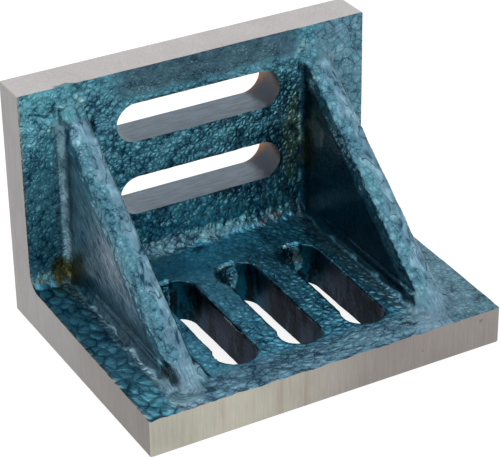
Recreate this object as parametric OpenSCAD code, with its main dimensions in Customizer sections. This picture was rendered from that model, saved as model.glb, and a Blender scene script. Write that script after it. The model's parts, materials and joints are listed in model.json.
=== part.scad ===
// Webbed and slotted angle plate: an iron casting with two plates at a right angle,
// an upright and a base, braced by a triangular web near each end. Bolts pass through
// three front-to-back slots in the base and two crosswise slots in the upright.
// The outside, the ends and the free edges are ground. The inside stays as cast.
//
// Frame: X runs along the width, +Y points at the ground back of the upright,
// +Z is up, and the origin is under the middle of the plate.

/* [Plate] */
// Width, from one ground end to the other
plate_w = 114.3; // [112:0.1:150]
// Depth, from the front edge of the base to the back of the upright
plate_d = 88.9; // [86:0.1:110]
// Height, from the underside to the top edge of the upright
plate_h = 76.2; // [75:0.1:95]
// Flat broken along the ground outer edges
edge_break = 0.4; // [0.3:0.1:1.2]

/* [Walls] */
// Thickness of the upright
upright_t = 12.4; // [11:0.1:14]
// Thickness of the base at its front edge
base_t = 11.8; // [11:0.1:14]
// Draft on the inside of the base, in degrees
base_draft = 1.4; // [0.5:0.1:2]
// Radius of the fillet where the two walls meet inside
root_r = 5; // [3:0.5:7]

/* [Webs] */
// Distance from the middle of the pattern to the middle of each web
web_offset = 40.3; // [38:0.1:42]
// Thickness of a web at its sloping ridge
web_t = 7.6; // [7:0.1:9]
// Draft on each side of a web, in degrees
web_draft = 1; // [0.5:0.1:1.5]
// Height at which the ridge would meet the upright
web_top = 66; // [60:0.5:68]
// Distance from the front edge to where the ridge would meet the base
web_toe = 8.5; // [8.5:0.5:15]
// Radius along both edges of the ridge
ridge_r = 1.3; // [1:0.1:2.5]
// Radius of the blend from the ridge up into the upright
top_blend_r = 9; // [6:0.5:10]
// Radius of the blend from the ridge down into the base
toe_blend_r = 12; // [8:0.5:12]
// Radius of the fillets at the foot of each web
foot_r = 3; // [2:0.5:3.5]

/* [Base slots] */
// Number of slots in the base
base_slot_count = 3; // [1:1:3]
// Width of each slot
base_slot_w = 12.2; // [10:0.1:12.6]
// Length of each slot over its round ends
base_slot_l = 47.3; // [36:0.1:50]
// Distance between neighbouring slots
base_slot_pitch = 21.1; // [20:0.1:21.5]
// Distance from the front edge to the front end of a slot
base_slot_front = 11.9; // [11:0.1:16]
// How far the round front end stands off to the left of its slot
front_lobe = 0.8; // [0:0.1:1]

/* [Upright slots] */
// Height of each slot
upright_slot_h = 12.4; // [10:0.1:12.8]
// Length of each slot over its round ends
upright_slot_l = 54.6; // [40:0.1:56]
// Height of the middle of the lower slot
upright_slot_z = 34.8; // [33:0.1:37]
// Distance between the middles of the two slots
upright_slot_pitch = 24; // [22:0.1:26]

/* [Casting] */
// How far the webs and all slots sit to the right of the ground ends' middle
core_shift = 0.6; // [-1:0.1:1]

/* [Hidden] */
$fn = 96;

// How far a cutter runs past a face, and how far a rib's root is buried in a wall
cut_over = 2;
bury = 3;
// A fillet or a blend dips this far under the faces that it joins, so that they cross
fillet_dip = 0.1;

// Inside faces of the two walls, in Y and Z
front_y = -plate_d / 2;
back_y = plate_d / 2;
upright_y = back_y - upright_t;
function base_top(y) = base_t + (y - front_y) * tan(base_draft);
root_z = base_top(upright_y);

// Ridge line of a web in the YZ plane, from the upright down to the base
toe_y = front_y + web_toe;
toe_z = base_top(toe_y);
ridge_run = upright_y - toe_y;
ridge_rise = web_top - toe_z;
ridge_angle = atan2(ridge_rise, ridge_run);
ridge_l = norm([ridge_run, ridge_rise]);
// Depth of the inner corner under the ridge
root_depth = (web_top - root_z) * cos(ridge_angle);
foot_spread = root_depth * tan(web_draft);

// The two blends at the ends of the ridge: the angle each turns through, the length
// of ridge that it takes up, and how deep its section goes
top_turn = 90 - ridge_angle;
toe_turn = ridge_angle - base_draft;
top_blend_l = top_blend_r * tan(top_turn / 2);
toe_blend_l = toe_blend_r * tan(toe_turn / 2);
blend_depth = 2 * bury;

// Foot fillets: the length of each, the lean that the draft gives it, and how far
// under the ridge it stops
upright_foot_l = web_top - root_z;
base_foot_l = ridge_run / cos(base_draft);
upright_foot_lean = atan2(foot_spread, upright_foot_l);
base_foot_lean = atan2(foot_spread, base_foot_l);
foot_drop = 0.5;

// Section of the two walls, looking along X, with the ground outer corners broken
module wall_section() {
    difference() {
        polygon([
            [front_y + edge_break, 0],
            [back_y - edge_break, 0],
            [back_y, edge_break],
            [back_y, plate_h - edge_break],
            [back_y - edge_break, plate_h],
            [upright_y - root_r, plate_h],
            [upright_y - root_r, base_top(upright_y - root_r)],
            [front_y, base_t],
            [front_y, edge_break]
        ]);
        translate([upright_y - root_r, root_z + root_r]) {
            circle(r = root_r);
        }
        translate([upright_y - 2 * root_r, root_z + root_r]) {
            square([2 * root_r, plate_h]);
        }
    }
}

// Rectangle with its corners cut off, for the ground outline seen from one side
module broken_rectangle(width, height) {
    half_w = width / 2;
    half_h = height / 2;
    polygon([
        [-half_w + edge_break, -half_h],
        [half_w - edge_break, -half_h],
        [half_w, -half_h + edge_break],
        [half_w, half_h - edge_break],
        [half_w - edge_break, half_h],
        [-half_w + edge_break, half_h],
        [-half_w, half_h - edge_break],
        [-half_w, -half_h + edge_break]
    ]);
}

// The upright and the base, with every ground outer edge broken
module walls() {
    intersection() {
        rotate([90, 0, 90]) {
            translate([0, 0, -plate_w / 2 - cut_over]) {
                linear_extrude(height = plate_w + 2 * cut_over) {
                    wall_section();
                }
            }
        }
        translate([0, 0, -cut_over]) {
            linear_extrude(height = plate_h + 2 * cut_over) {
                broken_rectangle(plate_w, plate_d);
            }
        }
        translate([0, back_y + cut_over, plate_h / 2]) {
            rotate([90, 0, 0]) {
                linear_extrude(height = plate_d + 2 * cut_over) {
                    broken_rectangle(plate_w, plate_h);
                }
            }
        }
    }
}

// Section of a web square to its ridge. Y = 0 is the ridge, the sides spread with the
// draft, and both edges of the ridge are round.
module web_section(thickness, depth, draft) {
    core_half = thickness / 2 - ridge_r;
    edge_half = core_half + ridge_r * cos(draft);
    edge_y = -ridge_r + ridge_r * sin(draft);
    foot_half = edge_half + (depth + edge_y) * tan(draft);
    polygon([
        [-foot_half, -depth],
        [foot_half, -depth],
        [edge_half, edge_y],
        [core_half, 0],
        [-core_half, 0],
        [-edge_half, edge_y]
    ]);
    for (side = [-1, 1]) {
        translate([side * core_half, -ridge_r]) {
            circle(r = ridge_r);
        }
    }
}

// The straight run of a web, kept inside the walls that it grows out of
module web_run() {
    intersection() {
        translate([0, upright_y, web_top]) {
            rotate([90 + ridge_angle, 0, 0]) {
                translate([0, 0, -bury]) {
                    linear_extrude(height = ridge_l + 2 * bury) {
                        web_section(web_t, root_depth + bury, web_draft);
                    }
                }
            }
        }
        translate([-web_t, toe_y - bury, bury]) {
            cube([2 * web_t, ridge_run + 2 * bury, web_top]);
        }
    }
}

// The top of the web swept round an arc of the YZ plane, from the angle start by turn
module web_bend(centre, radius, start, turn) {
    translate([0, centre[0], centre[1]]) {
        rotate([90, 0, 90]) {
            rotate([0, 0, start]) {
                rotate_extrude(angle = turn) {
                    translate([radius + fillet_dip, 0]) {
                        rotate(90) {
                            web_section(web_t - 2 * fillet_dip, blend_depth, 0);
                        }
                    }
                }
            }
        }
    }
}

// Blend from the ridge up into the upright
module top_blend() {
    centre = [upright_y - top_blend_r, web_top + top_blend_l];
    web_bend(centre, top_blend_r, ridge_angle - 90, top_turn);
}

// Blend from the ridge down into the base
module toe_blend() {
    end_y = toe_y - toe_blend_l * cos(base_draft);
    centre = [
        end_y - toe_blend_r * sin(base_draft),
        base_top(end_y) + toe_blend_r * cos(base_draft)
    ];
    web_bend(centre, toe_blend_r, base_draft - 90, toe_turn);
}

// Bar of fillet along Z from below the origin, in the corner of the XZ and YZ planes
module fillet_bar(length) {
    translate([0, 0, -bury]) {
        linear_extrude(height = length + 2 * bury) {
            difference() {
                translate([-bury / 2, -bury / 2]) {
                    square(foot_r + bury / 2);
                }
                translate([foot_r, foot_r]) {
                    circle(r = foot_r + fillet_dip);
                }
            }
        }
    }
}

// Everything under the ridge of a web, down to inside the walls
module under_ridge(width) {
    rotate([90, 0, 90]) {
        linear_extrude(height = width) {
            polygon([
                [toe_y, toe_z],
                [toe_y, toe_z - bury],
                [upright_y + bury, root_z - bury],
                [upright_y + bury, web_top],
                [upright_y, web_top]
            ]);
        }
    }
}

// Both fillets along the right foot of a web, cut off just under its ridge
module foot_fillets() {
    intersection() {
        translate([web_t / 2 + foot_spread, upright_y, root_z]) {
            rotate([90 + base_draft, 0, base_foot_lean]) {
                fillet_bar(base_foot_l);
            }
            rotate([0, -upright_foot_lean, 0]) {
                mirror([0, 1, 0]) {
                    fillet_bar(upright_foot_l);
                }
            }
        }
        translate([0, 0, -foot_drop]) {
            under_ridge(2 * web_t);
        }
    }
}

// One triangular web, centred on X = 0
module web() {
    web_run();
    top_blend();
    toe_blend();
    for (side = [0, 1]) {
        mirror([side, 0, 0]) {
            foot_fillets();
        }
    }
}

// Outline of a slot along X, centred on its length
module slot_outline(length, width) {
    reach = (length - width) / 2;
    translate([-reach, -width / 2]) {
        square([2 * reach, width]);
    }
    for (end = [-1, 1]) {
        translate([end * reach, 0]) {
            circle(d = width);
        }
    }
}

// One slot of the base, standing on its front end at Y = 0
module base_slot() {
    translate([0, 0, -cut_over]) {
        linear_extrude(height = root_z + 2 * cut_over) {
            translate([0, base_slot_l / 2]) {
                rotate(90) {
                    slot_outline(base_slot_l, base_slot_w);
                }
            }
            translate([-front_lobe, base_slot_w / 2]) {
                circle(d = base_slot_w);
            }
        }
    }
}

// One slot of the upright, centred on its own middle
module upright_slot() {
    rotate([90, 0, 0]) {
        linear_extrude(height = upright_t + 2 * cut_over, center = true) {
            slot_outline(upright_slot_l, upright_slot_h);
        }
    }
}

// The whole casting
module angle_plate() {
    color("cadetblue") {
        difference() {
            union() {
                walls();
                for (side = [-1, 1]) {
                    translate([core_shift + side * web_offset, 0, 0]) {
                        web();
                    }
                }
            }
            for (i = [0 : base_slot_count - 1]) {
                row_x = (i - (base_slot_count - 1) / 2) * base_slot_pitch;
                translate([core_shift + row_x, front_y + base_slot_front, 0]) {
                    base_slot();
                }
            }
            for (i = [0, 1]) {
                slot_z = upright_slot_z + i * upright_slot_pitch;
                translate([core_shift, back_y - upright_t / 2, slot_z]) {
                    upright_slot();
                }
            }
        }
    }
}

angle_plate();
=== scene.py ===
"""Looks of a slotted angle plate: an iron casting, painted inside and ground outside.

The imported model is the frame. One detailed mesh stands for its node. The casting is made
in the order of the real one: a raw body a little too big, a lumpy painted skin over it,
then the outside ground to size and the upright slotted.
"""

from __future__ import annotations

import json
import logging
import math
from dataclasses import dataclass, replace
from enum import Enum
from typing import Iterable, Sequence

import bmesh
import bpy
import numpy as np
from mathutils import Matrix, Vector

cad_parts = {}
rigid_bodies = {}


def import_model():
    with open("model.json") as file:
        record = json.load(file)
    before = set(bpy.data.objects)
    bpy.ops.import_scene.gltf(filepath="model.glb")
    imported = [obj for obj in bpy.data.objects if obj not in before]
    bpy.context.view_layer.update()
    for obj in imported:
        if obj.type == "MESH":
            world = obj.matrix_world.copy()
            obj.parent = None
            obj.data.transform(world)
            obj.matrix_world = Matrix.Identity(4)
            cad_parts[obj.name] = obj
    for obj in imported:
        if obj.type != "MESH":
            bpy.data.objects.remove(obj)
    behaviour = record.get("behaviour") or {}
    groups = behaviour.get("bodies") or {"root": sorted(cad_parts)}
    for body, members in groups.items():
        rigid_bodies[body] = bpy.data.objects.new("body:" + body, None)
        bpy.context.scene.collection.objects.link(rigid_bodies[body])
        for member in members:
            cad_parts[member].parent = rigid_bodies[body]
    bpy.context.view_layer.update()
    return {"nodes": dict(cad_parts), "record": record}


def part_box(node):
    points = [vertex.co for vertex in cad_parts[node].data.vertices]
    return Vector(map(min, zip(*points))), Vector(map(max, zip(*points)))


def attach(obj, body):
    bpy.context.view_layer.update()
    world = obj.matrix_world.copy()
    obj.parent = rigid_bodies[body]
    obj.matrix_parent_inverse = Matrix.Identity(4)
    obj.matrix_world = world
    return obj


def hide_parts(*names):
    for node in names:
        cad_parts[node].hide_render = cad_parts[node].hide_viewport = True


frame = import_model()

LOG = logging.getLogger("angle_plate")
MM = 0.001
NODE = "angle_plate"
BODY = "root"

Array = np.ndarray
Colour = tuple[float, float, float]
Span = tuple[float, float]
Socket = bpy.types.NodeSocket


def mm(*values: float) -> tuple[float, ...]:
    """Turns millimetres into metres."""
    return tuple(value * MM for value in values)


def srgb(red: int, green: int, blue: int) -> Colour:
    """Turns a screen colour, 0 to 255 a channel, into the linear one that shaders use.

    Args:
        red: Red channel.
        green: Green channel.
        blue: Blue channel.

    Returns:
        The linear colour.
    """
    def linear(value: int) -> float:
        """Undoes the screen's gamma for one channel."""
        share = value / 255
        return share / 12.92 if share <= 0.04045 else ((share + 0.055) / 1.055) ** 2.4

    return linear(red), linear(green), linear(blue)


def step(low: float, high: float, value: Array) -> Array:
    """Rises smoothly from 0 at low to 1 at high.

    Args:
        low: Where the rise starts.
        high: Where it ends.
        value: The values to judge.

    Returns:
        The share of the rise at each value.
    """
    share = np.clip((value - low) / (high - low), 0, 1)
    return share * share * (3 - 2 * share)


def fall(low: float, high: float, value: Array) -> Array:
    """Falls smoothly from 1 at low to 0 at high."""
    return 1 - step(low, high, value)


# ---------------------------------------------------------------- sizes


@dataclass(frozen=True)
class PlateSizes:
    """Sizes of the casting in metres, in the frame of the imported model."""

    low: Vector
    high: Vector
    upright_t: float = 12.4 * MM
    base_t: float = 11.8 * MM
    base_draft: float = math.radians(1.4)
    root_r: float = 5 * MM
    web_offset: float = 40.3 * MM
    web_top: float = 66 * MM
    web_toe: float = 8.5 * MM
    core_shift: float = 0.6 * MM

    @property
    def upright_y(self) -> float:
        """Inner face of the upright."""
        return self.high.y - self.upright_t

    @property
    def toe_y(self) -> float:
        """Where a ridge would meet the base."""
        return self.low.y + self.web_toe

    @property
    def ridge_angle(self) -> float:
        """Slope of a ridge from the level."""
        rise = self.web_top - float(self.base_top(self.toe_y))
        return math.atan2(rise, self.upright_y - self.toe_y)

    def base_top(self, y: Array | float) -> Array | float:
        """Height of the drafted inside of the base at a depth y."""
        return self.base_t + (y - self.low.y) * math.tan(self.base_draft)


@dataclass(frozen=True)
class SlotRun:
    """A slot with round ends, which runs along one axis and goes through along another."""

    centre: Vector
    along: Vector
    through: Vector
    radius: float
    length: float

    @classmethod
    def from_mount(cls, mount: dict) -> SlotRun:
        """Reads a slot from one of the record's mounts.

        Args:
            mount: The mount, whose axis is the way that a bolt goes.

        Returns:
            The slot, which runs across the upright or from front to back in the base.
        """
        through = Vector(mount["axis"])
        upright = abs(through.y) > abs(through.z)
        return cls(
            centre=Vector(mount["pos_m"]),
            along=Vector((1, 0, 0)) if upright else Vector((0, 1, 0)),
            through=through,
            radius=mount["dims"]["hole_r_mm"] * MM,
            length=mount["dims"]["slot_length_mm"] * MM,
        )

    @property
    def in_base(self) -> bool:
        """Whether the slot goes down through the base, and not through the upright."""
        return abs(self.through.z) > abs(self.through.y)

    @property
    def reach(self) -> float:
        """Distance from the slot's middle to the centre of each round end."""
        return self.length / 2 - self.radius

    def distance(self, points: Array) -> Array:
        """Distance of points from the slot's wall, seen along the bolt.

        Args:
            points: Points as rows of X, Y, Z.

        Returns:
            One distance per point, below 0 inside the slot.
        """
        offset = points - np.array(self.centre)
        across = np.array(self.through.cross(self.along))
        run = offset @ np.array(self.along)
        beyond = np.abs(run) - self.reach
        return np.hypot(np.maximum(beyond, 0), offset @ across) - self.radius


# ---------------------------------------------------------------- mesh helpers


def new_object(name: str, mesh: bpy.types.Mesh) -> bpy.types.Object:
    """Links a mesh into the scene as an object at the origin.

    Args:
        name: The object's name.
        mesh: Its mesh.

    Returns:
        The object.
    """
    made = bpy.data.objects.new(name, mesh)
    bpy.context.scene.collection.objects.link(made)
    return made


def prism(name: str, outline: Sequence[Vector], run: Vector) -> bpy.types.Object:
    """Makes a closed prism.

    Args:
        name: Name of the object.
        outline: Corners of one end, in order.
        run: The way and the distance from that end to the other.

    Returns:
        The prism, with its faces outwards.
    """
    work = bmesh.new()
    end = work.faces.new([work.verts.new(corner) for corner in outline])
    grown = bmesh.ops.extrude_face_region(work, geom=[end], use_keep_orig=True)
    moved = [item for item in grown["geom"] if isinstance(item, bmesh.types.BMVert)]
    bmesh.ops.translate(work, verts=moved, vec=run)
    bmesh.ops.recalc_face_normals(work, faces=work.faces)
    mesh = bpy.data.meshes.new(name)
    work.to_mesh(mesh)
    work.free()
    return new_object(name, mesh)


def settle(piece: bpy.types.Object) -> None:
    """Turns what a piece's modifiers give into its own plain mesh.

    Args:
        piece: The piece, which loses its modifiers.
    """
    graph = bpy.context.evaluated_depsgraph_get()
    mesh = bpy.data.meshes.new_from_object(piece.evaluated_get(graph))
    piece.modifiers.clear()
    piece.data = mesh


def discard(*pieces: bpy.types.Object) -> None:
    """Deletes working pieces that the casting no longer needs."""
    for piece in pieces:
        bpy.data.objects.remove(piece)


def positions(mesh: bpy.types.Mesh) -> Array:
    """Reads a mesh's points as rows of X, Y, Z."""
    flat = np.empty(len(mesh.vertices) * 3, np.float32)
    mesh.vertices.foreach_get("co", flat)
    return flat.reshape(-1, 3).astype(float)


# ---------------------------------------------------------------- zones of the inside


class Zone(Enum):
    """Stretches of the painted inside that took the paint differently; some also carry painted
    shade.
    """

    WALL = "wall between the webs"
    WALL_LEFT = "wall left of the left web"
    WALL_RIGHT = "wall right of the right web"
    WALL_TOP = "top of the wall between the webs"
    WALL_LOW = "bottom of the wall between the webs"
    BASE = "base between the webs"
    BASE_LEFT = "base left of the left web"
    BASE_RIGHT = "base right of the right web"
    BASE_FRONT = "front of the base"
    BASE_BACK = "base in front of the upright's fillet"
    RIDGE = "middle of a ridge"
    RIDGE_BAND = "left border of a ridge"
    SIDE_OUT = "outer side of a web"
    SIDE_IN = "inner side of a web"
    SIDE_LOW = "bottom of a web's outer side"
    FOOT = "base along a web's foot"
    CORNER = "fillet between a web's outer side and the upright"
    ROOT = "fillet between upright and base"
    TOE = "base round a web's toe"
    SLOT_WALL = "walls of the base slots"
    SLOT_BACK = "paint that ran into the back of a base slot"


@dataclass(frozen=True)
class Place:
    """Where points lie against the walls and the nearest web, one value per point."""

    points: Array
    across: Array
    over: Array
    out: Array
    height: Array
    from_middle: Array

    @classmethod
    def of(cls, points: Array, sizes: PlateSizes) -> Place:
        """Places points.

        Args:
            points: Points as rows of X, Y, Z.
            sizes: The casting's sizes.

        Returns:
            How far they lie to the right of the nearest web's middle plane, over its ridge
            plane, out from the upright, up from the base and right of the cored middle.
        """
        angle = sizes.ridge_angle
        from_middle = points[:, 0] - sizes.core_shift
        across = from_middle - np.where(from_middle > 0, 1, -1) * sizes.web_offset
        out = sizes.upright_y - points[:, 1]
        down = sizes.web_top - points[:, 2]
        over = out * math.sin(angle) - down * math.cos(angle)
        height = points[:, 2] - sizes.base_top(points[:, 1])
        return cls(points, across, over, out, height, from_middle)

    @property
    def x(self) -> Array:
        """Place of each point across the width."""
        return self.points[:, 0]

    @property
    def y(self) -> Array:
        """Place of each point from front to back."""
        return self.points[:, 1]

    @property
    def z(self) -> Array:
        """Height of each point over the underside."""
        return self.points[:, 2]

    @property
    def beside(self) -> Array:
        """Distance from the nearest web's middle plane, to either side."""
        return np.abs(self.across)

    @property
    def outer(self) -> Array:
        """Whether each point is on the side of its web that faces the plate's end."""
        return self.across * self.from_middle > 0


@dataclass(frozen=True)
class SlotZones:
    """Zones in the base slots and at the rims of all slots.

    A pair of distances is the stretch over which a zone fades in or out, apart from the
    lengths of the drips' waves.
    """

    sizes: PlateSizes
    slots: tuple[SlotRun, ...]
    wall_drop: Span = mm(-0.9, -0.2)
    wall_out: Span = mm(1, 2)
    run_round: float = 1.8 * MM
    run_lean: float = 0.05
    run_fade: float = 0.5 * MM
    run_margin: float = 2 * MM
    run_back: Span = mm(-3, -1)
    run_depth: Span = mm(-8.5, -7)
    drip_reach: float = 1.4 * MM
    drip_waves: Span = mm(0.9, 0.5)
    soft_out: Span = mm(0.3, 2)
    soft_depth: Span = mm(-3.6, -0.8)
    rim_out: Span = mm(0.3, 1.1)

    @property
    def base_slots(self) -> list[SlotRun]:
        """The slots that go down through the base."""
        return [slot for slot in self.slots if slot.in_base]

    @staticmethod
    def outside(place: Place, slots: Iterable[SlotRun]) -> Array:
        """Distance of points from the wall of the nearest of some slots."""
        return np.min([slot.distance(place.points) for slot in slots], axis=0)

    def run_in(self, place: Place) -> Array:
        """Says how far paint ran over the rim, down the back left end of each base slot.

        Args:
            place: Where the points lie.

        Returns:
            A share per point, 1 where the base's paint covers the slot's wall.
        """
        wave, quick_wave = self.drip_waves
        drips = self.drip_reach * np.sin(place.x / wave + np.sin(place.x / quick_wave))
        shares = []
        for slot in self.base_slots:
            offset = place.points - np.array(slot.centre)
            round_to = self.run_round + self.run_lean * slot.centre.x
            leftward = fall(round_to - self.run_fade, round_to + self.run_fade, offset[:, 0])
            near = np.abs(offset[:, 0]) < slot.radius + self.run_margin
            back = step(*self.run_back, offset[:, 1] - slot.reach)
            shares.append(leftward * near * back * step(*self.run_depth, place.height + drips))
        return np.max(shares, axis=0)

    def soft_rim(self, place: Place) -> Array:
        """Says how far the paint that ran into a base slot rounded its rim."""
        near = fall(*self.soft_out, self.outside(place, self.base_slots))
        return near * step(*self.soft_depth, place.height) * self.run_in(place)

    def rim(self, place: Place) -> Array:
        """Says how near each point is to the rim of a slot, which is darkened there as painted
        shade.
        """
        return fall(*self.rim_out, self.outside(place, self.slots)) * (1 - self.run_in(place))

    def shares(self, place: Place) -> dict[Zone, Array]:
        """Says how far each point belongs to each zone of the base slots' walls."""
        below = fall(*self.wall_drop, place.height)
        inside = fall(*self.wall_out, self.outside(place, self.base_slots))
        run_in = self.run_in(place)
        return {
            Zone.SLOT_WALL: below * (inside * (1 - run_in)),
            Zone.SLOT_BACK: below * run_in,
        }


@dataclass(frozen=True)
class WebZones:
    """Zones on and round the two webs.

    A pair of distances is the stretch over which a zone fades in or out, apart from the
    ridge's depths, at its left and at its right border, and the lengths of the waves.
    """

    sizes: PlateSizes
    ridge_depths: Span = mm(5.2, 2)
    ridge_fade: float = 0.8 * MM
    ridge_half: Span = mm(4.6, 5.4)
    ridge_foot: Span = mm(-0.3, 1.7)
    ridge_out: Span = mm(0, 2)
    band_edge: Span = mm(-1.6, -0.4)
    band_sway: float = 1.2 * MM
    band_waves: Span = mm(2.1, 1.7)
    toe_shift: float = 2.8 * MM
    toe_reach: Span = mm(5, 6.6)
    toe_height: Span = mm(4, 7)
    toe_back: Span = mm(4, 9)
    toe_right_share: float = 0.55
    side_half: Span = mm(5.8, 6.5)
    side_foot: Span = mm(-0.5, 0.3)
    side_top: Span = mm(-1, 0.5)
    side_out: Span = mm(0.8, 2.4)
    side_low: Span = mm(4, 10)
    corner_out: Span = mm(1.6, 2.8)
    corner_top: Span = mm(-2, 0)
    corner_start: Span = mm(4.8, 5.6)
    corner_end: Span = mm(6.8, 7.8)
    foot_outer: Span = mm(8, 8.7)
    foot_inner: Span = mm(9.6, 11.5)
    foot_inner_share: float = 0.5
    foot_height: Span = mm(0.8, 1.6)
    foot_out: Span = mm(1, 3)

    def from_toe(self, place: Place) -> Array:
        """Distance of points from the foot of the nearest ridge, seen from above."""
        past = np.minimum(place.y - self.sizes.toe_y, 0)
        return np.hypot(place.across + self.toe_shift, past)

    def toe(self, place: Place) -> Array:
        """Says how far each point belongs to the rings of paint round a web's toe."""
        near = fall(*self.toe_reach, self.from_toe(place)) * fall(*self.toe_height, place.height)
        near = near * np.where(place.from_middle > 0, self.toe_right_share, 1)
        return near * fall(*self.toe_back, place.y - self.sizes.toe_y)

    def ridges(self, place: Place) -> dict[Zone, Array]:
        """Shares the ridges out, with a rough band along their left border."""
        depth = np.where(place.across < 0, *self.ridge_depths)
        on_ridge = step(-depth - self.ridge_fade, -depth + self.ridge_fade, place.over)
        on_ridge = on_ridge * fall(*self.ridge_half, place.beside)
        on_ridge = on_ridge * step(*self.ridge_foot, place.height)
        on_ridge = on_ridge * step(*self.ridge_out, place.out)
        wave, quick_wave = self.band_waves
        sway = self.band_sway * np.sin(place.y / wave + np.sin(place.z / quick_wave))
        band = fall(*self.band_edge, place.across + sway)
        return {Zone.RIDGE_BAND: on_ridge * band, Zone.RIDGE: on_ridge * (1 - band)}

    def sides(self, place: Place) -> dict[Zone, Array]:
        """Shares the webs' sides out, with the fillet between the left one and the upright."""
        on_side = fall(*self.side_half, place.beside) * step(*self.side_foot, place.height)
        on_side = on_side * fall(*self.side_top, place.over)
        left_inner = ~place.outer & (place.from_middle <= 0)
        on_side = on_side * np.where(left_inner, step(*self.side_out, place.out), 1)
        corner = fall(*self.corner_out, place.out) * fall(*self.corner_top, place.over)
        strip = step(*self.corner_start, place.beside) * fall(*self.corner_end, place.beside)
        return {
            Zone.CORNER: corner * strip * place.outer * (place.from_middle < 0),
            Zone.SIDE_LOW: on_side * place.outer * fall(*self.side_low, place.height),
            Zone.SIDE_OUT: on_side * place.outer,
            Zone.SIDE_IN: on_side * ~place.outer,
        }

    def foot(self, place: Place) -> Array:
        """Says how far each point belongs to the pale strip along a web's left foot."""
        outer_strip = fall(*self.foot_outer, place.beside)
        inner_strip = self.foot_inner_share * fall(*self.foot_inner, place.beside)
        strip = np.where(place.outer, outer_strip, inner_strip) * (place.across < 0)
        return strip * fall(*self.foot_height, place.height) * step(*self.foot_out, place.out)

    def shares(self, place: Place) -> dict[Zone, Array]:
        """Says how far each point belongs to each zone of the webs, the nearest first."""
        return {
            Zone.TOE: self.toe(place),
            **self.ridges(place),
            **self.sides(place),
            Zone.FOOT: self.foot(place),
        }


@dataclass(frozen=True)
class BayZones:
    """Zones of the upright and the base, between the webs and outside them.

    A pair of distances is the stretch over which a zone fades in or out, apart from the
    root's fades, outwards and upwards, and the lengths of its waves.
    """

    sizes: PlateSizes
    web_fade: float = 1 * MM
    root_reach: float = 2.4 * MM
    root_sway: float = 0.8 * MM
    root_waves: Span = mm(2.7, 4.3)
    root_lean: float = 0.03
    root_fades: Span = mm(1.6, 2)
    wall_edge: Span = mm(-1, 1)
    top_height: Span = mm(65.5, 69.5)
    top_left: Span = mm(-32, -20)
    top_right: Span = mm(30, 38)
    low_height: Span = mm(23, 29)
    front_reach: Span = mm(8, 14)
    back_start: Span = mm(13, 17)
    back_lean: float = 0.1
    back_right: Span = mm(-16, -6)
    back_share: float = 0.65

    def root(self, place: Place) -> Array:
        """Says how far each point belongs to the fillet between the upright and the base."""
        wave, slow_wave = self.root_waves
        sway = self.root_sway * np.sin(place.x / wave + 2 * np.sin(place.x / slow_wave))
        reach = self.root_reach + sway - self.root_lean * place.x
        out_fade, up_fade = self.root_fades
        near = fall(reach, reach + out_fade, place.out)
        return near * fall(reach, reach + up_fade, place.height)

    def shares(self, place: Place) -> dict[Zone, Array]:
        """Says how far each point belongs to each zone of the walls, the nearest first."""
        web = self.sizes.web_offset
        left = fall(-web - self.web_fade, -web + self.web_fade, place.from_middle)
        right = step(web - self.web_fade, web + self.web_fade, place.from_middle)
        wall = step(*self.wall_edge, place.height - place.out)
        top = step(*self.top_height, place.z) * fall(*self.top_right, place.x)
        back = step(*self.back_start, place.y - self.back_lean * place.x)
        return {
            Zone.ROOT: self.root(place) * (1 - left) * (1 - right),
            Zone.WALL_LEFT: wall * left,
            Zone.WALL_RIGHT: wall * right,
            Zone.WALL_TOP: wall * top * step(*self.top_left, place.x),
            Zone.WALL_LOW: wall * fall(*self.low_height, place.z),
            Zone.WALL: wall,
            Zone.BASE_LEFT: left,
            Zone.BASE_RIGHT: right,
            Zone.BASE_FRONT: fall(*self.front_reach, place.y - self.sizes.low.y),
            Zone.BASE_BACK: self.back_share * back * fall(*self.back_right, place.x),
            Zone.BASE: np.ones(len(place.points)),
        }


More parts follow.
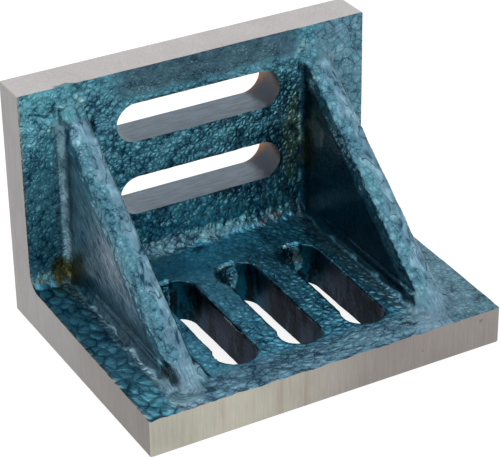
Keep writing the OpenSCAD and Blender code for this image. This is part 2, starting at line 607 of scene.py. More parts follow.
@dataclass(frozen=True)
class ZoneMap:
    """Says how far each point of the inside belongs to each zone."""

    sizes: PlateSizes
    slots: tuple[SlotRun, ...]
    wander_waves: tuple[tuple[float, float, float], ...] = (
        (0.6, 0.7, -0.5), (-0.5, 0.6, 0.7), (0.7, -0.4, 0.6))
    wander_size: float = 1.3 * MM
    wander_reach: float = 0.45 * MM
    worn_width: Span = mm(0.3, 0.75)
    lip_width: Span = mm(1, 4)

    def wander(self, points: Array) -> Array:
        """Moves points a little along X, Y and Z, so that the zones' borders wander.

        Args:
            points: Points as rows of X, Y, Z.

        Returns:
            The move of each point.
        """
        x, y, z = (points @ np.array(wave) / self.wander_size for wave in self.wander_waves)
        moves = np.stack([np.sin(x + np.sin(y)), np.sin(y + np.sin(z)), np.sin(z + np.sin(x))], 1)
        return self.wander_reach * moves

    def wandered(self, points: Array) -> Place:
        """Places points after they have wandered."""
        return Place.of(points + self.wander(points), self.sizes)

    def from_toe(self, points: Array) -> Array:
        """Distance of points from the foot of the nearest ridge, seen from above."""
        return WebZones(self.sizes).from_toe(Place.of(points, self.sizes))

    def soft_rim(self, points: Array) -> Array:
        """Says how far the paint that ran into a base slot rounded its rim."""
        return SlotZones(self.sizes, self.slots).soft_rim(Place.of(points, self.sizes))

    def rim(self, points: Array) -> Array:
        """Says how near each point is to the rim of a slot, which is darkened there as painted
        shade.
        """
        return SlotZones(self.sizes, self.slots).rim(self.wandered(points))

    def worn_end(self, points: Array) -> Array:
        """Says how near each point is to the left end, where grinding bared the paint's edge."""
        return fall(*self.worn_width, points[:, 0] - self.sizes.low.x)

    def lip(self, points: Array) -> Array:
        """Says how near each point is to the front edge, where the paint dried in beads."""
        return fall(*self.lip_width, points[:, 1] - self.sizes.low.y)

    def weights(self, points: Array) -> dict[Zone, Array]:
        """Shares points out among the zones.

        Args:
            points: Points as rows of X, Y, Z.

        Returns:
            A weight per point for each zone. The weights of a point add up to 1.
        """
        place = self.wandered(points)
        shares = {
            **SlotZones(self.sizes, self.slots).shares(place),
            **WebZones(self.sizes).shares(place),
            **BayZones(self.sizes).shares(place),
        }
        free = np.ones(len(points))
        weights = {}
        for zone, share in shares.items():
            weights[zone] = free * share
            free = free - weights[zone]
        return weights


# ---------------------------------------------------------------- node graphs

# Stretches of a noise's values, most of which lie near 0.5.
WIDE: Span = (0.2, 0.8)
MIDDLE: Span = (0.25, 0.75)
NARROW: Span = (0.3, 0.7)
STEEP: Span = (0.35, 0.65)


class Graph:
    """Adds nodes to one node tree and links them in reading order."""

    def __init__(self, tree: bpy.types.NodeTree) -> None:
        """Starts on a tree, which may hold nodes already."""
        self.tree = tree

    def node(self, kind: str, inputs: dict | None = None, **settings: object) -> bpy.types.Node:
        """Adds one node.

        Args:
            kind: The node's type name.
            inputs: What goes into its sockets, by name or place: a socket or a value.
            settings: The node's own properties.

        Returns:
            The node.
        """
        made = self.tree.nodes.new(kind)
        for name, value in settings.items():
            setattr(made, name, value)
        for key, value in (inputs or {}).items():
            self.feed(made.inputs[key], value)
        return made

    def feed(self, socket: Socket, value: object) -> None:
        """Links a socket to another, or sets its value.

        Args:
            socket: The input to feed.
            value: A socket, a number, a vector or a colour.
        """
        if isinstance(value, Socket):
            self.tree.links.new(value, socket)
        elif socket.type == "RGBA" and len(value) == 3:
            socket.default_value = (*value, 1)
        else:
            socket.default_value = value

    def attribute(self, name: str) -> Socket:
        """Reads one number that a point carries, in a relief or in a finish."""
        if self.tree.type == "GEOMETRY":
            return self.node("GeometryNodeInputNamedAttribute", {"Name": name}).outputs[0]
        return self.node("ShaderNodeAttribute", attribute_name=name).outputs["Fac"]

    def math(self, operation: str, *values: object) -> Socket:
        """Works out one number from others."""
        inputs = dict(enumerate(values))
        return self.node("ShaderNodeMath", inputs, operation=operation).outputs[0]

    def add(self, *values: object) -> Socket:
        """Adds numbers up."""
        total = values[0]
        for value in values[1:]:
            total = self.math("ADD", total, value)
        return total

    def times(self, *values: object) -> Socket:
        """Multiplies numbers."""
        total = values[0]
        for value in values[1:]:
            total = self.math("MULTIPLY", total, value)
        return total

    def vector(self, operation: str, *values: object) -> Socket:
        """Works out one vector from others."""
        inputs = dict(enumerate(values))
        return self.node("ShaderNodeVectorMath", inputs, operation=operation).outputs[0]

    def scaled(self, value: object, factor: object) -> Socket:
        """Multiplies a vector by a number."""
        inputs = {0: value, "Scale": factor}
        return self.node("ShaderNodeVectorMath", inputs, operation="SCALE").outputs[0]

    def parts(self, value: object) -> Sequence[Socket]:
        """Splits a vector into its X, Y and Z."""
        return self.node("ShaderNodeSeparateXYZ", {0: value}).outputs

    def turned(self, place: object, angle: float) -> Socket:
        """Turns a place round the X axis."""
        inputs = {"Vector": place, "Angle": angle}
        return self.node("ShaderNodeVectorRotate", inputs, rotation_type="X_AXIS").outputs[0]

    def rise(
        self, value: object, low: object, high: object, bottom: object = 0, top: object = 1
    ) -> Socket:
        """Rises smoothly from bottom, where a value is low, to top, where it is high."""
        inputs = {0: value, 1: low, 2: high, 3: bottom, 4: top}
        made = self.node("ShaderNodeMapRange", inputs, interpolation_type="SMOOTHSTEP")
        return made.outputs[0]

    def blend(self, share: object, first: object, second: object) -> Socket:
        """Mixes two colours."""
        made = self.node("ShaderNodeMix", {0: share, 6: first, 7: second}, data_type="RGBA")
        return made.outputs[2]

    def noise(
        self, place: object, size: float, detail: float = 2, roughness: float = 0.5
    ) -> Socket:
        """Smooth noise from 0 to 1, whose largest lumps are about size metres."""
        inputs = {
            "Vector": place,
            "Scale": 1 / size,
            "Detail": detail,
            "Roughness": roughness,
        }
        return self.node("ShaderNodeTexNoise", inputs).outputs[0]

    def wander(self, place: object, size: float, reach: float) -> Socket:
        """Pushes a place about, so that a pattern on it loses its straight lines."""
        inputs = {"Vector": place, "Scale": 1 / size, "Detail": 1}
        cloud = self.node("ShaderNodeTexNoise", inputs).outputs[1]
        shift = self.vector("SUBTRACT", cloud, (0.5, 0.5, 0.5))
        return self.vector("ADD", place, self.scaled(shift, 2 * reach))


class Finish(Graph):
    """The nodes of one material, which end in its shader."""

    def __init__(self, name: str) -> None:
        """Starts a material with a plain shader."""
        self.material = bpy.data.materials.new(name)
        self.material.use_nodes = True
        super().__init__(self.material.node_tree)
        self.shader = self.tree.nodes["Principled BSDF"]

    def place(self) -> Socket:
        """Reads the place on the piece, in metres."""
        return self.node("ShaderNodeTexCoord").outputs["Object"]

    def shade(self, inputs: dict[str, object]) -> None:
        """Feeds the shader.

        Args:
            inputs: What goes into its sockets, by name: a socket or a value.
        """
        for name, value in inputs.items():
            self.feed(self.shader.inputs[name], value)

    def bump(self, height: object) -> None:
        """Tilts the shading as a height in metres would."""
        inputs = {"Height": height, "Distance": 1.0}
        self.shade({"Normal": self.node("ShaderNodeBump", inputs).outputs[0]})


# ---------------------------------------------------------------- paint patterns


class PaintPattern:
    """A pattern that the paint dried in."""

    def build(self, graph: Graph, where: object) -> tuple[Socket, Socket]:
        """Adds the pattern to a graph.

        Args:
            graph: The graph of a relief or a finish.
            where: The place on the casting, in metres.

        Returns:
            The pattern's lightness, from 0 to 1, and its height in metres.
        """
        raise NotImplementedError


@dataclass(frozen=True)
class CellPattern(PaintPattern):
    """Hammered cells: domes with dark creases between them.

    Each sway's spacing and reach are shares of the size, and so are the radii.
    """

    size: float
    stretch: tuple[float, float, float] = (1, 1, 1)
    crease: float = 0.12
    crease_light: float = 0.35
    dome: float = 0.5
    depth: float = 0.06 * MM
    seed: float = 0
    light: float = 0.56
    mottle: float = 0.14
    tone: float = 0.12
    sways: tuple[Span, ...] = ((2.4, 0.3), (0.7, 0.1))
    crease_widths: Span = (0.3, 1.4)
    dome_radii: Span = (0.7, 0.1)

    def build(self, graph: Graph, where: object) -> tuple[Socket, Socket]:
        """Adds the cells, each with its own tone, and their creases."""
        place = graph.vector("MULTIPLY", where, [1 / axis for axis in self.stretch])
        place = graph.vector("ADD", place, (self.seed, self.seed, self.seed))
        for spacing, reach in self.sways:
            place = graph.wander(place, spacing * self.size, reach * self.size)
        inputs = {"Vector": place, "Scale": 1 / self.size}
        edge = graph.node("ShaderNodeTexVoronoi", inputs, feature="DISTANCE_TO_EDGE").outputs[0]
        cell = graph.node("ShaderNodeTexVoronoi", inputs, feature="F1").outputs
        patchy = graph.noise(where, 2.5 * self.size)
        widths = [share * self.crease for share in self.crease_widths]
        width = graph.rise(patchy, *STEEP, *widths)
        # Darker creases: dark paint lines, deepened as painted shade.
        crease = graph.rise(edge, 0, width, self.crease_light, 1)
        # Lighter dome centres: a painted highlight on each cell.
        dome = graph.rise(cell[0], *self.dome_radii, -0.5 * self.dome, 0.5 * self.dome)
        shade = graph.rise(graph.parts(cell[1])[0], 0, 1, -self.tone, self.tone)
        grain = graph.noise(where, 0.35 * self.size, detail=1)
        grain = graph.rise(grain, *MIDDLE, -self.mottle, self.mottle)
        cloud = graph.noise(where, 2 * self.size)
        cloud = graph.rise(cloud, *NARROW, -self.mottle, self.mottle)
        lightness = graph.times(graph.add(self.light, dome, shade, grain, cloud), crease)
        height = graph.times(graph.rise(edge, 0, 0.5), self.depth)
        return lightness, height


@dataclass(frozen=True)
class FlowPattern(PaintPattern):
    """Paint that ran: pale, with thin dark lines that wind along the run.

    Each sway's spacing and reach are shares of the size.
    """

    size: float
    stretch: tuple[float, float, float] = (1, 1, 1)
    lines: float = 7
    width: float = 0.1
    line_light: float = 0.3
    cloud: float = 0.5
    angle: float = 0
    depth: float = 0.08 * MM
    light: float = 0.53
    tone: float = 0.06
    sways: tuple[Span, ...] = ((1, 0.5), (0.3, 0.08))
    line_core: float = 0.01
    faint_span: Span = (0.42, 0.56)

    def build(self, graph: Graph, where: object) -> tuple[Socket, Socket]:
        """Adds the runs, whose dark lines fade out in places."""
        place = graph.turned(where, self.angle)
        place = graph.vector("MULTIPLY", place, [1 / axis for axis in self.stretch])
        for spacing, reach in self.sways:
            place = graph.wander(place, spacing * self.size, reach * self.size)
        field = graph.noise(place, self.size, detail=0.5)
        level = graph.math("FRACT", graph.times(field, self.lines))
        near = graph.math("ABSOLUTE", graph.math("SUBTRACT", level, 0.5))
        faint = graph.noise(place, 0.6 * self.size, detail=1)
        bottom = graph.rise(faint, *self.faint_span, 1, self.line_light)
        line = graph.rise(near, self.line_core, self.width, bottom, 1)
        cloud = graph.rise(graph.noise(place, 0.5 * self.size, detail=3), *MIDDLE, -0.5, 0.5)
        shade = graph.rise(level, 0, 1, -self.tone, self.tone)
        face = graph.add(self.light, graph.times(cloud, self.cloud), shade)
        return graph.times(face, line), graph.times(graph.add(line, cloud), self.depth)


@dataclass(frozen=True)
class SwirlPattern(PaintPattern):
    """Paint that ran round the foot of a ridge and dried in rings."""

    ring: float = 1.15 * MM
    depth: float = 0.06 * MM
    light: float = 0.56
    mottle: float = 0.2
    sway_size: float = 4 * MM
    sway_rings: float = 1.5
    faint_size: float = 2.5 * MM
    faint_span: Span = (0.35, 0.6)
    line_lights: Span = (0.8, 0.4)
    line_width: Span = (0.02, 0.2)
    cloud_size: float = 2 * MM

    def build(self, graph: Graph, where: object) -> tuple[Socket, Socket]:
        """Adds the rings round the nearest toe."""
        rings = graph.math("DIVIDE", graph.attribute("from_toe"), self.ring)
        loose = graph.times(graph.noise(where, self.sway_size, detail=1), self.sway_rings)
        level = graph.math("FRACT", graph.add(rings, loose))
        near = graph.math("ABSOLUTE", graph.math("SUBTRACT", level, 0.5))
        faint = graph.noise(where, self.faint_size, detail=1)
        bottom = graph.rise(faint, *self.faint_span, *self.line_lights)
        line = graph.rise(near, *self.line_width, bottom, 1)
        cloud = graph.noise(where, self.cloud_size)
        cloud = graph.rise(cloud, *MIDDLE, -self.mottle, self.mottle)
        return graph.times(graph.add(self.light, cloud), line), graph.times(line, self.depth)


DOWN_RIDGE = math.radians(-38.5)


class Pattern(Enum):
    """The patterns that the paint dried in."""

    FINE = CellPattern(1.6 * MM, crease=0.2, crease_light=0.5, dome=0.4, depth=0.11 * MM)
    COARSE = CellPattern(2.0 * MM, crease_light=0.6, dome=0.25, depth=0.1 * MM)
    BROAD = CellPattern(2.8 * MM, crease_light=0.45, dome=0.15, depth=0.08 * MM, seed=0.02)
    MILD = CellPattern(1.6 * MM, crease=0.2, crease_light=0.6, dome=0.2, depth=0.07 * MM)
    SOFT = CellPattern(1.3 * MM, crease_light=0.8, dome=0.1, depth=0.05 * MM)
    LARGE = CellPattern(3.2 * MM, (1, 1.3, 1), crease=0.15, dome=0.25, depth=0.12 * MM, seed=0.03)
    DRAWN = CellPattern(
        1.6 * MM, (1.6, 1, 1), crease_light=0.5, dome=0.35, depth=0.05 * MM, seed=0.05)
    MARBLED = FlowPattern(5.5 * MM, (0.8, 1.6, 1), 6, line_light=0.2, cloud=0.8, angle=DOWN_RIDGE)
    STREAKED = FlowPattern(2.4 * MM, (1, 3, 1), 5, line_light=0.5, cloud=0.6, angle=DOWN_RIDGE)
    SMEARED = FlowPattern(4 * MM, (1.5, 1, 1), 5, line_light=0.5, cloud=0.7)
    SWIRLED = SwirlPattern()
    PLAIN = FlowPattern(6 * MM, (1, 1, 2.5), 2, line_light=0.7)


# ---------------------------------------------------------------- finishes


@dataclass(frozen=True)
class ZoneLook:
    """How the paint dried in one zone, with any painted shade in its colour and its share of
    painted glints.
    """

    colour: Colour
    pattern: Pattern
    lumpy: float = 0.1
    # Share of painted glints, pale specks that stand in for sparkle, in the zone.
    painted_glints: float = 1


LOOKS: dict[Zone, ZoneLook] = {
    Zone.WALL: ZoneLook(srgb(72, 138, 156), Pattern.FINE, 0.5),
    Zone.WALL_LEFT: ZoneLook(srgb(84, 156, 172), Pattern.MILD, 0.3),
    Zone.WALL_RIGHT: ZoneLook(srgb(74, 122, 140), Pattern.BROAD),
    Zone.WALL_TOP: ZoneLook(srgb(50, 86, 102), Pattern.SOFT, 0.3),
    Zone.WALL_LOW: ZoneLook(srgb(68, 136, 150), Pattern.FINE, 0.9, 2.4),
    Zone.BASE: ZoneLook(srgb(66, 144, 172), Pattern.COARSE, 0.2),
    Zone.BASE_BACK: ZoneLook(srgb(44, 108, 130), Pattern.SMEARED, 0.4, 0.2),
    Zone.BASE_LEFT: ZoneLook(srgb(72, 144, 166), Pattern.LARGE, 0.2, 0.6),
    Zone.BASE_RIGHT: ZoneLook(srgb(72, 118, 136), Pattern.MILD, 0.1, 0.5),
    Zone.BASE_FRONT: ZoneLook(srgb(84, 132, 154), Pattern.DRAWN, 0.2, 0.6),
    Zone.RIDGE: ZoneLook(srgb(85, 126, 145), Pattern.MARBLED, 0.5, 0.15),
    Zone.RIDGE_BAND: ZoneLook(srgb(70, 124, 142), Pattern.COARSE, 1),
    Zone.SIDE_OUT: ZoneLook(srgb(96, 122, 138), Pattern.STREAKED, 0.1, 0.1),
    # Painted shade: the bottom of a web's outer side is coloured darker towards its foot.
    Zone.SIDE_LOW: ZoneLook(srgb(26, 66, 82), Pattern.STREAKED, 0.2, 0.2),
    # Painted shade: the webs' inner sides are coloured nearly black for the shade between them.
    Zone.SIDE_IN: ZoneLook(srgb(4, 48, 64), Pattern.SOFT, 0.1, 0.25),
    Zone.FOOT: ZoneLook(srgb(118, 158, 176), Pattern.COARSE, 0.2, 0.8),
    Zone.CORNER: ZoneLook(srgb(92, 134, 150), Pattern.MILD, 0.2, 0.5),
    Zone.ROOT: ZoneLook(srgb(80, 126, 142), Pattern.FINE, 0.8, 1.2),
    Zone.TOE: ZoneLook(srgb(92, 130, 148), Pattern.SWIRLED, 0.3, 0.15),
    Zone.SLOT_WALL: ZoneLook(srgb(22, 28, 34), Pattern.PLAIN, 0.1, 0.3),
    Zone.SLOT_BACK: ZoneLook(srgb(50, 118, 142), Pattern.FINE, 0.1),
}


@dataclass(frozen=True)
class Patch:
    """A spot, in millimetres, of lighter or darker paint, rust, painted shade or a painted
    highlight.
    """

    centre: tuple[float, float, float]
    reach: tuple[float, float, float]
    colour: Colour
    strength: float = 0.8
    swell: float = 0
    edge: Span = (0.6, 1.1)

    def share(self, points: Array) -> Array:
        """Says how strongly the patch shows at each point.

        Args:
            points: Points as rows of X, Y, Z, in metres.

        Returns:
            A share from 0 to the patch's strength.
        """
        away = np.linalg.norm((points / MM - self.centre) / np.array(self.reach), axis=1)
        return self.strength * fall(*self.edge, away)


OLIVE = srgb(70, 72, 34)
MOSS = srgb(30, 52, 46)
BROWN = srgb(96, 84, 60)
PALE = srgb(140, 184, 186)
BARE = srgb(158, 150, 126)
GLINT = srgb(196, 218, 222)
# Painted shade for recesses.
RECESS_SHADE = srgb(8, 40, 50)
# Painted shade for small grooves.
GROOVE_SHADE = srgb(24, 66, 78)

PATCHES = (
    Patch((-47, 30.5, 17.4), (5.2, 5, 4.8), OLIVE, 0.97),
    Patch((-51.5, 31, 15.4), (2.4, 2, 1.2), srgb(20, 36, 36), 0.9),
    Patch((-54.8, 30.5, 15.2), (2.6, 2, 0.7), srgb(112, 94, 70), 0.7),
    Patch((-54, 31.5, 18), (3.6, 2, 1.6), PALE, 0.5, 0.3),
    Patch((32, 32, 41), (3.4, 3, 18), srgb(128, 168, 138), 0.6),
    Patch((21, 30.3, 14.9), (1.3, 1.2, 0.9), BROWN, 0.7),
    Patch((23.8, 30.9, 15.5), (1, 1, 0.8), BROWN, 0.7),
    Patch((25.8, 29.6, 14.4), (1.5, 1.2, 0.8), BROWN, 0.8),
    Patch((37, 25.5, 44), (1.5, 6, 7), srgb(112, 118, 128), 0.8),
    Patch((36.6, 29.5, 36), (2, 3, 9), srgb(60, 58, 26), 0.8),
    # Painted light: a lighter spot where a facet of the right web's inner side catches the light.
    Patch((37.1, 28, 58.4), (1.5, 2.6, 5), srgb(150, 186, 196), 0.9),
    # Painted highlight on the upright above the left web's top, over a real swell.
    Patch((-40, 32, 69.3), (4, 3, 2), PALE, 0.15, 0.5),
    # Painted highlight on the rounded top end of the left ridge.
    Patch((-41.2, 26.5, 62.2), (2.6, 4, 3.6), srgb(122, 166, 186), 0.5),
    # Painted shade along a small groove at the left of the left ridge's top.
    Patch((-43.6, 31, 66), (0.8, 2.6, 3.4), GROOVE_SHADE, 0.8, -0.3),
    # Painted highlight on the upright above the right web's top, over a real swell.
    Patch((37, 32, 69.3), (3, 3, 2), PALE, 0.35, 0.4),
    Patch((30, -38.3, 12), (3.6, 0.7, 2), srgb(14, 34, 46), 0.9, -0.3),
    # Painted shade in the recess at the front of the left web's outer side, over a real dent.
    Patch((-43.2, -30.8, 15), (2.4, 5.6, 3.6), RECESS_SHADE, 1, -0.6),
    # Painted shade along the foot of the left web's outer side.
    Patch((-45, -13, 14.6), (1.6, 13, 3), srgb(20, 60, 76), 0.85),
    # Painted glints round the top of the left web, over small real swells.
    Patch((-43.1, 32, 69.6), (0.9, 2, 0.9), srgb(156, 204, 206), 0.6, 0.3),
    Patch((-41.6, 32, 70.4), (0.9, 2, 0.7), srgb(156, 204, 206), 0.6, 0.2),
    Patch((-38.1, 32, 71.5), (1.2, 2, 1.4), srgb(150, 200, 204), 0.5, 0.3),
    Patch((-47.3, 32, 64.6), (1.2, 2, 2), PALE, 0.6, 0.2),
    # Painted shade in a crease on the upright left of the left web, and in the notch left of its
    # top.
    Patch((-49.5, 32, 68.4), (5, 2, 0.55), GROOVE_SHADE, 0.9, -0.3),
    Patch((-45, 32, 68.4), (0.9, 3, 2.4), GROOVE_SHADE, 0.8, -0.4),
    # Painted shade: a dark strip down the left web where it meets the upright.
    Patch((-43.8, 30, 44), (1.5, 2.6, 25), srgb(28, 70, 86), 0.85),
    Patch((23.2, 14.6, 9.2), (3, 2, 4.6), MOSS, 0.8),
    Patch((-18.4, 15, 13.3), (2.6, 0.7, 0.8), GLINT, 0.35, 0.1),
    Patch((-0.4, 15.4, 13.3), (3.4, 0.7, 0.8), GLINT, 0.6, 0.15),
    Patch((20.6, 15.6, 13.3), (1.8, 0.9, 0.8), GLINT, 0.9, 0.2),
)


@dataclass(frozen=True)
class HammerPaint:
    """Blue hammered enamel: metallic flake under a thin clear gloss."""

    name: str = "hammered_paint"
    flake: float = 0.92
    gloss: float = 0.3
    coat: float = 0.15
    coat_gloss: float = 0.08
    patchy_size: float = 7 * MM
    patchy_light: float = 0.16
    tint_size: float = 6 * MM
    grain_size: float = 0.6 * MM
    grain_height: float = 0.07 * MM
    # Pale specks that stand in for glints: painted highlights.
    glint_size: float = 0.7 * MM
    glint_share: float = 0.45
    glint_sway: Span = (0.8, 0.4)
    glint_radii: Span = (0.45, 0.15)
    glint_chosen: Span = (0.6, 0.95)
    drift_size: float = 5 * MM
    drift_span: Span = (0.4, 0.62)
    drift_shares: Span = (0.15, 1.2)
    glint_colour: Colour = srgb(176, 206, 214)
    dark_share: Colour = (0, 0.16, 0.24)
    mid_share: Colour = (1.15, 0.98, 0.98)
    light_share: Colour = (1.9, 1.8, 1.66)
    light_red: float = 0.2
    green_share: Colour = (0.93, 1.01, 0.97)
    grey_share: Colour = (1.01, 1, 1.01)

    def build(self) -> bpy.types.Material:
        """Builds the paint's material."""
        finish = Finish(self.name)
        where = finish.place()
        lights, heights = [], []
        for pattern in Pattern:
            share = finish.attribute(pattern.name)
            light, height = pattern.value.build(finish, where)
            lights.append(finish.times(share, light))
            heights.append(finish.times(share, height))
        patchy = finish.noise(where, self.patchy_size)
        patchy = finish.rise(patchy, *WIDE, -self.patchy_light, self.patchy_light)
        paint = self.colour(finish, where, finish.add(*lights, patchy))
        # Painted glints: pale specks mixed into the paint's colour.
        painted_glints = finish.times(self.painted_glints(finish, where), finish.attribute("painted_glints"))
        finish.shade({
            "Base Color": finish.blend(painted_glints, paint, self.glint_colour),
            "Metallic": self.flake,
            "Roughness": self.gloss,
            "Coat Weight": self.coat,
            "Coat Roughness": self.coat_gloss,
        })
        grain = finish.times(finish.noise(where, self.grain_size, detail=1), self.grain_height)
        finish.bump(finish.add(*heights, grain))
        return finish.material

    def colour(self, finish: Finish, where: object, lightness: object) -> Socket:
        """Colours the paint, dark and blue in its creases and pale on its domes, whose whitish
        pale end is partly a painted highlight.

        Args:
            finish: The paint's graph.
            where: The place on the casting, in metres.
            lightness: How light the pattern is there, from 0 to 1.

        Returns:
            The paint's colour.
        """
        zone = finish.node("ShaderNodeAttribute", attribute_name="zone_colour").outputs["Color"]
        tint = finish.rise(finish.noise(where, self.tint_size), *STEEP)
        tint = finish.blend(tint, self.green_share, self.grey_share)
        zone = finish.vector("MULTIPLY", zone, tint)
        dark = finish.vector("MULTIPLY", zone, self.dark_share)
        mid = finish.vector("MULTIPLY", zone, self.mid_share)
        # Extra red whitens the pale end: partly a painted highlight.
        red = finish.times(finish.parts(zone)[1], self.light_red)
        red = finish.node("ShaderNodeCombineXYZ", {0: red}).outputs[0]
        light = finish.vector("ADD", finish.vector("MULTIPLY", zone, self.light_share), red)
        paint = finish.blend(finish.rise(lightness, 0, 0.5), dark, mid)
        return finish.blend(finish.rise(lightness, 0.5, 1), paint, light)

    def painted_glints(self, finish: Finish, where: object) -> Socket:
        """Scatters small pale specks, which lie in drifts: painted glints."""
        loose = finish.wander(where, *(share * self.glint_size for share in self.glint_sway))
        inputs = {"Vector": loose, "Scale": 1 / self.glint_size}
        cell = finish.node("ShaderNodeTexVoronoi", inputs, feature="F1").outputs
        round_glint = finish.rise(cell[0], *self.glint_radii)
        chosen = finish.rise(finish.parts(cell[1])[1], *self.glint_chosen)
        drift = finish.noise(where, self.drift_size, detail=1)
        drift = finish.rise(drift, *self.drift_span, *self.drift_shares)
        return finish.times(round_glint, chosen, drift, self.glint_share)


@dataclass(frozen=True)
class GroundIron:
    """Bare iron off the surface grinder. A change runs from one value of a pair to the other."""

    sizes: PlateSizes
    name: str = "ground_iron"
    shine: float = 0.9
    roughness: float = 0.42
    # The faces' greys are painted light and shade: the top lit, the front lighter at the left, the
    # ends darker towards the front.
    metal: Colour = srgb(150, 148, 148)
    end_shaded_metal: Colour = srgb(132, 127, 124)
    top_lit_metal: Colour = srgb(192, 188, 188)
    front_lit_metal: Colour = srgb(182, 179, 167)
    front_shaded_metal: Colour = srgb(145, 139, 136)
    brown: Colour = srgb(140, 118, 100)
    paint: Colour = srgb(104, 130, 140)
    warm_edge: Colour = srgb(190, 182, 164)
    face_depth: Span = mm(0.3, 0.1)
    front_fade: Span = mm(-30, 20)
    end_fade: Span = mm(25, -30)
    stroke: tuple[float, float, float] = (1, 1, 0.06)
    grain_size: float = 0.6 * MM
    grain_light: Span = (0.9, 1.1)
    grain_height: float = 0.012 * MM
    cloud_size: float = 14 * MM
    cloud_light: float = 0.07
    streak_size: float = 3 * MM
    streak_span: Span = (0.56, 0.76)
    streak_share: float = 0.35
    edge_in: Span = mm(0.45, 0.3)
    edge_out: Span = mm(0.02, 0.1)
    edge_share: float = 0.7
    smear_at: tuple[float, float, float] = mm(-42.4, 31.9, 76.2)
    smear_reach: tuple[float, float, float] = mm(3.8, 1.5, 5)
    smear_sway: Span = mm(3, 1.4)
    smear_edge: Span = (1, 0.75)

    def smear(self, finish: Finish, where: object) -> Socket:
        """Says where a lick of paint lies over the edge of the top face."""
        place = finish.wander(where, *self.smear_sway)
        away = finish.vector("SUBTRACT", place, self.smear_at)
        away = finish.vector("DIVIDE", away, self.smear_reach)
        length = finish.node("ShaderNodeVectorMath", {0: away}, operation="LENGTH")
        return finish.rise(length.outputs["Value"], *self.smear_edge)

    def faces(self, finish: Finish, x: Socket, y: Socket, top: Socket) -> Socket:
        """Gives the front, the ends and the top their own greys, as painted light and shade: the
        top lightest, the front lighter at the left, the ends darker towards the front.

        Args:
            finish: The iron's graph.
            x: The place across the width.
            y: The place from front to back.
            top: How far the place is on the top face, from 0 to 1.

        Returns:
            The metal's colour there.
        """
        front = finish.rise(y, *(self.sizes.low.y + depth for depth in self.face_depth))
        face = finish.blend(finish.rise(x, *self.front_fade), self.front_lit_metal, self.front_shaded_metal)
        end = finish.blend(finish.rise(y, *self.end_fade), self.metal, self.end_shaded_metal)
        return finish.blend(top, finish.blend(front, end, face), self.top_lit_metal)

    def edge(self, finish: Finish, x: Socket) -> Socket:
        """Says where the broken edge of the left end is, which is warmer in colour."""
        inner = finish.rise(x, *(self.sizes.low.x + depth for depth in self.edge_in))
        outer = finish.rise(x, *(self.sizes.low.x + depth for depth in self.edge_out))
        return finish.times(inner, outer, self.edge_share)

    def build(self) -> bpy.types.Material:
        """Builds the ground faces' material."""
        finish = Finish(self.name)
        where = finish.place()
        x, y, z = finish.parts(where)
        top = finish.rise(z, *(self.sizes.high.z - depth for depth in self.face_depth))
        metal = self.faces(finish, x, y, top)
        stroke = finish.vector("MULTIPLY", where, self.stroke)
        grain = finish.noise(stroke, self.grain_size, detail=3, roughness=0.6)
        cloud = finish.noise(where, self.cloud_size, detail=3)
        cloud = finish.rise(cloud, *WIDE, -self.cloud_light, self.cloud_light)
        level = finish.add(finish.rise(grain, *WIDE, *self.grain_light), cloud)
        metal = finish.scaled(metal, level)
        streak = finish.noise(stroke, self.streak_size)
        worn = finish.rise(streak, *self.streak_span, 0, self.streak_share)
        worn = finish.times(worn, finish.math("SUBTRACT", 1, top))
        metal = finish.blend(worn, metal, self.brown)
        metal = finish.blend(self.edge(finish, x), metal, self.warm_edge)
        metal = finish.blend(self.smear(finish, where), metal, self.paint)
        finish.shade({"Base Color": metal, "Metallic": self.shine, "Roughness": self.roughness})
        finish.bump(finish.times(grain, self.grain_height))
        return finish.material


@dataclass(frozen=True)
class SlotIron:
    """Walls of the slots across the upright: dull grey iron, dark and rusty at the right."""

    name: str = "slot_iron"
    shine: float = 0.85
    roughness: float = 0.4
    metal: Colour = srgb(108, 122, 134)
    dark_metal: Colour = srgb(62, 68, 78)
    warm_metal: Colour = srgb(72, 62, 54)
    rust: Colour = srgb(160, 108, 60)
    lowest_z: float = 28.6 * MM
    pitch: float = 24 * MM
    stroke: tuple[float, float, float] = (0.2, 1, 1)
    grain_size: float = 1.2 * MM
    grain_light: Span = (0.8, 1.2)
    ragged_size: float = 3 * MM
    end_x: float = 22 * MM
    end_fade: Span = mm(1, 4)
    blot_size: float = 2.5 * MM
    blot_span: Span = (0.3, 0.6)
    warm_span: Span = (0.2, 0.36)
    warm_share: float = 0.7
    back_fade: Span = mm(42, 48)
    back_lean: float = 12 * MM

    def build(self) -> bpy.types.Material:
        """Builds the slot walls' material."""
        finish = Finish(self.name)
        where = finish.place()
        x, y, z = finish.parts(where)
        grain = finish.vector("MULTIPLY", where, self.stroke)
        grain = finish.noise(grain, self.grain_size, detail=3, roughness=0.6)
        metal = finish.scaled(self.metal, finish.rise(grain, *MIDDLE, *self.grain_light))
        ragged = finish.times(finish.noise(where, self.ragged_size), self.ragged_size)
        end = finish.add(x, ragged)
        end = finish.rise(end, *(self.end_x + fade for fade in self.end_fade))
        metal = finish.blend(end, metal, self.dark_metal)
        height = finish.math("SUBTRACT", z, self.lowest_z)
        height = finish.math("FRACT", finish.math("DIVIDE", height, self.pitch))
        blot = finish.rise(finish.noise(where, self.blot_size), *self.blot_span, 0.4, 1)
        warm = finish.rise(finish.add(height, finish.times(blot, 0.1)), *self.warm_span)
        metal = finish.blend(finish.times(end, warm, self.warm_share), metal, self.warm_metal)
        back = finish.add(y, finish.times(height, self.back_lean))
        back = finish.rise(back, *self.back_fade)
        metal = finish.blend(finish.times(end, back, blot), metal, self.rust)
        finish.shade({"Base Color": metal, "Metallic": self.shine, "Roughness": self.roughness})
        return finish.material


